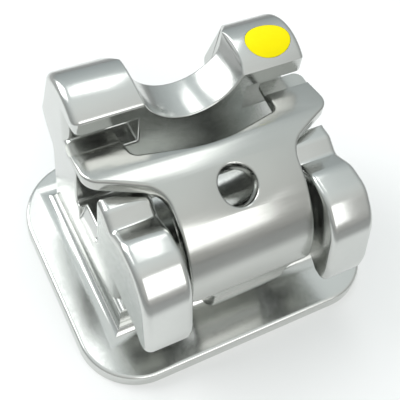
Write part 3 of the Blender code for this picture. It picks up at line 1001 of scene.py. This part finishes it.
    def gap_cutter(self) -> Object:
        """The gap between the wings, which flares open behind the web.

        Returns:
            The cutter.
        """
        wide = self.gap_half_width + self.gap_flare
        flare_end = self.web_back_y + self.gap_flare_length
        floor_z = self.undercut_z - self.clearance
        outline = rounded(
            (-self.gap_half_width, self.web_back_y, self.gap_corner),
            (self.gap_half_width, self.web_back_y, self.gap_corner),
            (wide, flare_end, self.gap_corner),
            (wide, self.tip_y + BEYOND, 0.0),
            (-wide, self.tip_y + BEYOND, 0.0),
            (-wide, flare_end, self.gap_corner),
        )
        return pull("wing_gap", outline, lambda x, y: Vector((x, y, floor_z)), (0.0, 0.0, 2.0 * BEYOND))

    def saddle_cutter(self) -> Object:
        """The round scoop between the wings."""
        middle = (0.0, self.face.crest_y, self.saddle_floor_z + self.saddle_radius)
        return rod("saddle", self.saddle_radius, 2.0 * self.pad_half_y, middle, QUARTER)

    def tunnel_cutter(self) -> Object:
        """The flat tunnel that guides the clip's leg.

        Returns:
            The cutter.
        """
        half = self.clip.leg_half_width + self.clearance
        low = (-half, self.stem_front - BEYOND, self.clip.leg_low_z - self.clearance)
        high = (half, self.stem_back + BEYOND, self.clip.leg_high_z + self.clearance + self.roof_overlap)
        return block("tunnel", low, high)

    def pocket_cutters(self) -> list[Object]:
        """The square retention pockets of the pad's tooth side.

        Returns:
            One cutter for each pocket.
        """
        half = self.pocket_size / 2.0
        first = block("pocket", (-half, -half, -self.pocket_depth), (half, half, self.pocket_depth))
        cutters = []
        count_x = int((self.pad_half_x - self.pocket_margin - half) / self.pocket_pitch - 0.5) + 1
        count_y = int((self.pad_half_y - self.pocket_margin - half) / self.pocket_pitch - 0.5) + 1
        for row in range(-count_y, count_y):
            for column in range(-count_x, count_x):
                x = (column + 0.5) * self.pocket_pitch
                y = (row + 0.5) * self.pocket_pitch
                radius = self.pad_front_corner if y < 0.0 else self.pad_back_corner
                over_x = abs(x) + half - (self.pad_half_x - radius)
                over_y = abs(y) + half - (self.pad_half_y - radius)
                if min(over_x, over_y) > 0.0 and math.hypot(over_x, over_y) > radius - self.pocket_margin:
                    continue
                pocket = first.copy()
                pocket.data = first.data.copy()
                pocket.data.transform(Matrix.Translation((x, y, 0.0)))
                cutters.append(pocket)
        bpy.data.objects.remove(first, do_unlink=True)
        return cutters

    def rounding(self, first: Vector, last: Vector) -> float:
        """Share of the full rounding that an edge gets.

        Args:
            first: one end of the edge.
            last: its other end.

        Returns:
            1 on the outline of the two sides, less inside, a share of its own on the hooks' inner edges,
            and 0 low down, in the tunnel and round the dimple.
        """
        tunnel_x = self.clip.leg_half_width + 2.0 * self.clearance
        tunnel_z = self.clip.leg_high_z + 2.0 * self.clearance
        middle = (first + last) / 2.0
        if min(first.z, last.z) < self.pad_thickness + self.foot_radius + NEAR:
            return 0.0
        if abs(middle.x) < tunnel_x and middle.z < tunnel_z:
            return 0.0
        if math.hypot(middle.x - self.mark.x, middle.y - self.mark.y) < self.mark.half_width + self.clearance:
            return 0.0
        if min(abs(first.x), abs(last.x)) > self.half_width - NEAR:
            in_slot = abs(middle.y - self.slot.centre_y) < self.slot.width / 2.0 + NEAR
            return self.inner_share if in_slot and middle.z < self.recess_floor_z else 1.0
        on_hook = all(abs(abs(end.x) - self.bay_half_width) < NEAR for end in (first, last))
        above_stem = min(first.z, last.z) > self.slot.wall_top_z + NEAR
        before_bay = max(first.y, last.y) < self.bay_front_y - NEAR
        return self.hook_share if on_hook and (above_stem or before_bay) else self.inner_share

    def build(self, steel: Steel) -> Object:
        """Build the body.

        Args:
            steel: its finish.

        Returns:
            The finished piece.
        """
        body = self.pad()
        solids = [self.foot(), self.stem(), self.wings(), self.hook(-1.0), self.hook(1.0)]
        combine(body, solids, Cut.JOIN)
        cutters = [self.gap_cutter(), self.saddle_cutter(), self.tunnel_cutter(), self.mark.cutter()]
        cutters += self.pocket_cutters()
        for side in (-1.0, 1.0):
            cutters += [self.recess_cutter(side), self.lead_in_cutter(side)]
        combine(body, cutters, Cut.REMOVE)
        reorder(body)
        clean_flats(body)
        soften(body, self.rounding, self.edge_round, self.edge_facets)
        merge(body)
        finish(body, steel.material())
        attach(body, "body")
        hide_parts("bracket_body")
        return body


@dataclass
class SpringClip:
    """The sliding clip: a stamped and pierced blank, folded to shape."""

    shape: ClipShape = field(default_factory=ClipShape)
    half_width: float = 0.70
    corner: float = 0.10
    corner_facets: int = 14
    shoulder_share: float = 0.25
    ear_half_span: float = 1.35
    ear_front_y: float = 0.27
    ear_back_y: float = -0.11
    ear_corner: float = 0.22
    ear_root_y: float = -0.44
    ear_root_radius: float = 0.30
    crease_y: float = -0.19
    top_fall: float = 0.09
    under_fall: float = 0.02
    tongue_inner_x: float = 0.84
    tongue_reach: float = 0.19
    tongue_milling: float = 0.06
    tongue_inner_radius: float = 0.05
    tongue_outer_radius: float = 0.10
    notch_half_width: float = 0.80
    notch_y: float = 0.03
    notch_sag: float = 0.20
    notch_bow: float = 1.40
    hole_radius: float = 0.20
    hole_angle: float = 24.0
    edge_round: float = 0.035
    edge_facets: int = 4
    hole_round: float = 0.028
    step_round: float = 0.02
    inner_facets: int = 3
    roll_steps: int = 40
    turn_steps: int = 20

    def along(self, y: float) -> float:
        """Distance along the blank from the tongues' tips to a place on the flat part."""
        return self.ear_front_y + self.tongue_reach - y

    def marks(self) -> tuple[float, float, float, float, float]:
        """Where the blank is folded.

        Returns:
            Distances along the blank at which the roll, the drop, the turn and the leg begin, and its end.
        """
        middle = self.shape.thickness / 2.0
        roll = self.along(self.shape.roll_y)
        drop = roll + QUARTER * (self.shape.roll_radius - middle)
        turn = drop + self.shape.drop
        leg = turn + QUARTER * (self.shape.turn_radius - middle)
        turn_y = self.shape.roll_y - self.shape.roll_radius + self.shape.turn_radius
        return roll, drop, turn, leg, leg + self.shape.leg_end_y - turn_y

    def blank(self) -> Object:
        """The flat blank with its ears, notch, tongues and shoulders, its rims rounded.

        Returns:
            The blank.
        """
        _, drop, _, _, end = self.marks()
        notch = self.along(self.notch_y)
        shoulder = drop + self.shape.drop * self.shoulder_share
        right = [
            (self.notch_half_width, notch, self.corner),
            (self.tongue_inner_x, 0.0, self.tongue_inner_radius),
            (self.ear_half_span, 0.0, self.tongue_outer_radius),
            (self.ear_half_span, self.along(self.ear_back_y), self.ear_corner),
            (self.half_width, self.along(self.ear_root_y), self.ear_root_radius),
            (self.half_width, shoulder, self.corner),
            (self.shape.leg_half_width, shoulder, self.corner),
            (self.shape.leg_half_width, end, self.corner),
        ]
        left = [(-x, along, radius) for x, along, radius in reversed(right)]
        bow = [(0.0, notch + self.notch_sag, self.notch_bow)]
        outline = rounded(*right, *left, *bow, segments=self.corner_facets)
        thickness = self.shape.thickness
        blank = pull(
            "spring_clip_detail", outline, lambda x, along: Vector((x, -along, -thickness)),
            (0.0, 0.0, thickness),
        )
        round_edges(blank, lambda a, b: abs(a.z - b.z) < NEAR, self.edge_round, self.edge_facets)
        return blank

    def pierce(self, blank: Object) -> None:
        """Punch the hole and break its rims.

        Args:
            blank: the flat blank.
        """
        past = math.radians(self.hole_angle) * (self.shape.roll_radius - self.shape.thickness / 2.0)
        place = Vector((0.0, -self.marks()[0] - past, 0.0))
        combine(blank, [rod("punch", self.hole_radius, BEYOND, place)], Cut.REMOVE)

        def rim(first: Vector, last: Vector) -> bool:
            """Whether an edge lies on one of the hole's rims."""
            inside = all((end - place).xy.length < self.hole_radius + NEAR for end in (first, last))
            return inside and abs(first.z - last.z) < NEAR

        round_edges(blank, rim, self.hole_round, self.inner_facets)

    def thin_tongues(self, blank: Object) -> None:
        """Mill the tongues down on their labial side.

        Args:
            blank: the flat blank.
        """
        step = -self.along(self.ear_front_y)
        low = (-2.0 * BEYOND, step, -self.tongue_milling)
        combine(blank, [block("thinning", low, (2.0 * BEYOND, BEYOND, BEYOND))], Cut.REMOVE)

        def lip(first: Vector, last: Vector) -> bool:
            """Whether an edge is the step's upper edge."""
            return all(abs(end.y - step) < NEAR and abs(end.z) < NEAR for end in (first, last))

        round_edges(blank, lip, self.step_round, self.inner_facets)

    def pressed_down(self, y: float, out: float) -> float:
        """How far the coined slope of the flat part lowers a point.

        Args:
            y: its place across the slot.
            out: its distance outside the labial skin, negative inside.

        Returns:
            The fall, which grows from the crease to the front of the ears.
        """
        slope = (y - self.crease_y) / (self.ear_front_y - self.crease_y)
        inside = -out / self.shape.thickness
        fall = self.top_fall * (1.0 - inside) + self.under_fall * inside
        return fall * max(0.0, min(1.0, slope))

    def bent(self, spot: Vector) -> Vector:
        """Place of a blank point on the folded clip.

        Args:
            spot: the point on the flat blank.

        Returns:
            Its place once the blank is folded.
        """
        shape = self.shape
        roll, drop, turn, leg, _ = self.marks()
        middle = shape.thickness / 2.0
        x, along, out = spot.x, -spot.y, spot.z
        front = shape.roll_y - shape.roll_radius
        if along <= roll:
            y = self.along(along)
            return Vector((x, y, shape.top_z + out - self.pressed_down(y, out)))
        if along <= drop:
            angle = (along - roll) / (shape.roll_radius - middle)
            radius = shape.roll_radius + out
            y = shape.roll_y - radius * math.sin(angle)
            return Vector((x, y, shape.roll_z + radius * math.cos(angle)))
        if along <= turn:
            return Vector((x, front - out, shape.roll_z - (along - drop)))
        turn_y = front + shape.turn_radius
        turn_z = shape.roll_z - shape.drop
        if along <= leg:
            angle = (along - turn) / (shape.turn_radius - middle)
            radius = shape.turn_radius + out
            y = turn_y - radius * math.cos(angle)
            return Vector((x, y, turn_z - radius * math.sin(angle)))
        return Vector((x, turn_y + along - leg, shape.leg_low_z - out))

    def fold(self, blank: Object) -> None:
        """Score the blank across and fold it.

        Args:
            blank: the flat blank.
        """
        roll, drop, turn, leg, _ = self.marks()
        scores = [roll + (drop - roll) * step / self.roll_steps for step in range(self.roll_steps + 1)]
        scores += [turn + (leg - turn) * step / self.turn_steps for step in range(self.turn_steps + 1)]
        scores.append(self.along(self.crease_y))
        with editing(blank):
            for score in scores:
                bpy.ops.mesh.select_all(action="SELECT")
                bpy.ops.mesh.bisect(plane_co=(0.0, -score, 0.0), plane_no=(0.0, 1.0, 0.0), use_fill=False)
        for vert in blank.data.vertices:
            vert.co = self.bent(vert.co)

    def build(self, steel: Steel) -> Object:
        """Build the clip.

        Args:
            steel: its finish.

        Returns:
            The finished piece.
        """
        clip = self.blank()
        self.pierce(clip)
        self.thin_tongues(clip)
        self.fold(clip)
        merge(clip)
        finish(clip, steel.material())
        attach(clip, "clip")
        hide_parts("spring_clip")
        return clip


@dataclass(frozen=True)
class Softbox:
    """A rectangular lamp that faces the bracket.

    Attributes:
        name: its name.
        azimuth: direction from the bracket in degrees, 0 towards -Y and 90 towards +X.
        elevation: its height in degrees.
        distance: its distance in millimetres.
        size: its width and height in millimetres.
        radiance: how bright its face is, where 1 is white.
    """

    name: str
    azimuth: float
    elevation: float
    distance: float
    size: tuple[float, float]
    radiance: float

    def build(self) -> Object:
        """Hang the lamp.

        Returns:
            The lamp.
        """
        away = heading(self.azimuth, self.elevation)
        data = bpy.data.lights.new(self.name, "AREA")
        data.shape = "RECTANGLE"
        data.size = self.size[0] * MM
        data.size_y = self.size[1] * MM
        data.energy = self.radiance * math.pi * data.size * data.size_y
        lamp = bpy.data.objects.new(self.name, data)
        lamp.location = away * self.distance * MM
        lamp.rotation_euler = away.to_track_quat("Z", "Y").to_euler()
        bpy.context.scene.collection.objects.link(lamp)
        return lamp


@dataclass
class Studio:
    """The floor with a painted pool of light round the bracket and painted shade further out, the lamps, the
    surround and the camera.
    """

    floor_size: float = 400.0
    floor_colour: Colour = (0.95, 0.95, 0.95)
    # painted shade: the floor darkens to this grey away from the bracket, so the steel's lower faces mirror
    # darker
    painted_shade_colour: Colour = (0.40, 0.40, 0.40)
    floor_roughness: float = 0.9
    # middle and inner and outer reach, in millimetres, of the painted pool of light on the floor
    painted_pool_middle: tuple[float, float] = (1.0, 1.2)
    painted_pool_reach: tuple[float, float] = (4.4, 6.8)
    lamps: tuple[Softbox, ...] = (
        Softbox("front_box", 6.0, 33.0, 24.0, (19.0, 12.5), 1.7),
        Softbox("left_box", -137.0, 32.0, 24.0, (13.0, 19.0), 3.4),
        Softbox("back_box", 158.0, 62.0, 24.0, (8.0, 10.0), 1.7),
    )
    sky: tuple[tuple[float, float], ...] = (
        (0.0, 0.48), (0.14, 0.52), (0.41, 0.63), (0.64, 0.76), (0.77, 0.84), (1.0, 0.97),
    )
    front_tint: Colour = (1.0, 0.995, 0.965)
    back_tint: Colour = (0.91, 1.0, 1.02)
    azimuth: float = -35.56
    elevation: float = 54.71
    roll: float = 10.68
    distance: float = 8.39
    target: Corner = (0.02, -0.04, 0.80)
    lens: float = 68.23
    sight: tuple[float, float] = (0.1, 2000.0)

    def floor(self) -> Object:
        """Lay the floor: a painted pool of light round the bracket, with painted shade further out that the
        steel mirrors as darker surroundings.

        Returns:
            The floor.
        """
        clear_selection()
        bpy.ops.mesh.primitive_plane_add(size=self.floor_size * MM)
        floor = bpy.context.object
        floor.name = "floor"
        material = bpy.data.materials.new("floor_painted_pool")
        wiring = Wiring(material)
        # painted shade: the floor's colour fades from pale to dark grey with distance from a middle point
        # near the bracket
        middle = (self.painted_pool_middle[0] * MM, self.painted_pool_middle[1] * MM, 0.0)
        away = wiring.add("VectorMath", {0: wiring.place(), 1: middle}, operation="DISTANCE")
        painted_pool_fade = wiring.add("MapRange", {
            "Value": away.outputs["Value"],
            "From Min": self.painted_pool_reach[0] * MM, "From Max": self.painted_pool_reach[1] * MM,
        }, interpolation_type="SMOOTHSTEP")
        wiring.feed(wiring.tree.nodes["Principled BSDF"], {
            "Base Color": wiring.blend(self.floor_colour, self.painted_shade_colour, painted_pool_fade.outputs["Result"]),
            "Roughness": self.floor_roughness, "Specular IOR Level": 0.0,
        })
        floor.data.materials.append(material)
        return floor

    def surround(self) -> World:
        """Light the surround: grey at the horizon and paler above, a little warm in front and cool behind.

        Returns:
            The world.
        """
        world = bpy.data.worlds.new("surround")
        bpy.context.scene.world = world
        wiring = Wiring(world)
        way = wiring.add("SeparateXYZ", {"Vector": wiring.add("TexCoord", {}).outputs["Generated"]}).outputs
        ramp = wiring.add("ValToRGB", {"Fac": way["Z"]})
        ramp.color_ramp.interpolation = "EASE"
        stops = ramp.color_ramp.elements
        while len(stops) < len(self.sky):
            stops.new(0.5)
        for stop, (place, level) in zip(stops, self.sky):
            stop.position = place
            stop.color = (level, level, level, 1.0)
        depth = wiring.add("MapRange", {"Value": way["Y"], "From Min": -1.0})
        tint = wiring.blend(self.front_tint, self.back_tint, depth.outputs["Result"])
        wiring.feed(wiring.tree.nodes["Background"], {
            "Color": wiring.blend(ramp.outputs["Color"], tint, 1.0, "MULTIPLY"), "Strength": 1.0,
        })
        return world

    def camera(self) -> Object:
        """Set the camera up at the photograph's angle.

        Returns:
            The camera.
        """
        turn, roll = math.radians(self.azimuth), math.radians(self.roll)
        back = heading(self.azimuth, self.elevation)
        level = Vector((math.cos(turn), math.sin(turn), 0.0))
        upright = back.cross(level)
        right = level * math.cos(roll) + upright * math.sin(roll)
        top = upright * math.cos(roll) - level * math.sin(roll)
        data = bpy.data.cameras.new("camera")
        data.lens = self.lens
        data.clip_start, data.clip_end = (distance * MM for distance in self.sight)
        camera = bpy.data.objects.new("camera", data)
        axes = Matrix((right, top, back)).transposed().to_4x4()
        spot = (Vector(self.target) + back * self.distance) * MM
        camera.matrix_world = Matrix.Translation(spot) @ axes
        bpy.context.scene.collection.objects.link(camera)
        bpy.context.scene.camera = camera
        return camera

    def build(self) -> None:
        """Build the studio and set plain colour management."""
        self.floor()
        self.surround()
        for lamp in self.lamps:
            lamp.build()
        self.camera()
        bpy.context.scene.view_settings.view_transform = "Standard"


def main() -> None:
    """Build the bracket and its studio, and log each piece's face count."""
    logging.basicConfig(level=logging.INFO, format="%(message)s")
    polished = Steel("polished_steel", (0.64, 0.65, 0.635), (0.58, 0.59, 0.57), (0.17, 0.24))
    spring = Steel("spring_steel", (0.56, 0.565, 0.545), (0.50, 0.51, 0.485), (0.17, 0.25), Grain.ALONG_SLOT)
    paint = Paint("yellow_paint", (1.0, 0.88, 0.0), (0.95, 0.80, 0.0))
    pieces = [BracketBody().build(polished), SpringClip().build(spring), ColourMark().build(paint)]
    for piece in pieces:
        log.info("%s: %d faces", piece.name, len(piece.data.polygons))
    Studio().build()


if __name__ == "__main__":
    main()
